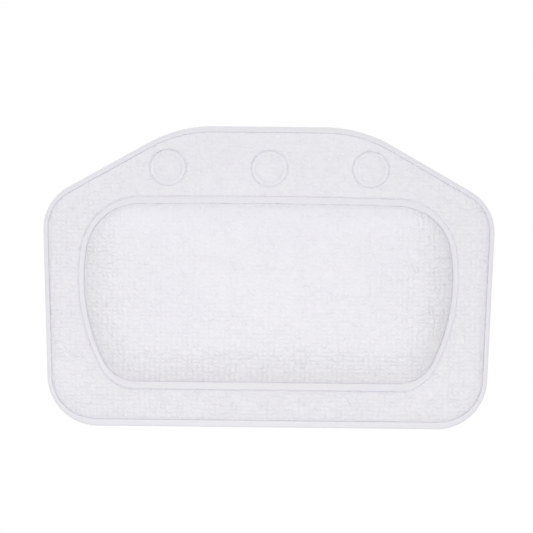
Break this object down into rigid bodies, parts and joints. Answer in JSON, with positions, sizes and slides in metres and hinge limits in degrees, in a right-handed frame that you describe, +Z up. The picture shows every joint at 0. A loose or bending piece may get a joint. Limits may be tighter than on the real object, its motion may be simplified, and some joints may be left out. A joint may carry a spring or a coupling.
{
  "type": "bath pillow",
  "caption": "Crowned foam head pad welded between two vinyl sheets with a wide flat border, hung on a bath wall by a row of suction cups.",
  "frame": {"origin": "centre of the middle suction cup's rim, in the plane of the wall that the cups hold", "axes": "+Z up, +Y into the wall, the padded front faces -Y, +X to the right as seen from the front"},
  "size_m": [0.33, 0.0334, 0.22],
  "materials": {
    "white_vinyl": "satin",
    "back_vinyl": "satin",
    "foam": "matte",
    "cup_vinyl": "gloss"
  },
  "bodies": {
    "pillow": {"front_cover": "white_vinyl", "back_cover": "back_vinyl", "pad_foam": "foam", "border_foam": "foam"},
    "cup_left": {"suction_cup_left": "cup_vinyl"},
    "cup_centre": {"suction_cup_centre": "cup_vinyl"},
    "cup_right": {"suction_cup_right": "cup_vinyl"}
  },
  "joints": [
    {"name": "cup_left_spin", "type": "hinge", "parent": "pillow", "child": "cup_left", "pos_m": [-0.0743, 0, 0], "axis": [0, 1, 0], "continuous": true},
    {"name": "cup_centre_spin", "type": "hinge", "parent": "pillow", "child": "cup_centre", "pos_m": [0, 0, 0], "axis": [0, 1, 0], "continuous": true},
    {"name": "cup_right_spin", "type": "hinge", "parent": "pillow", "child": "cup_right", "pos_m": [0.0743, 0, 0], "axis": [0, 1, 0], "continuous": true}
  ]
}
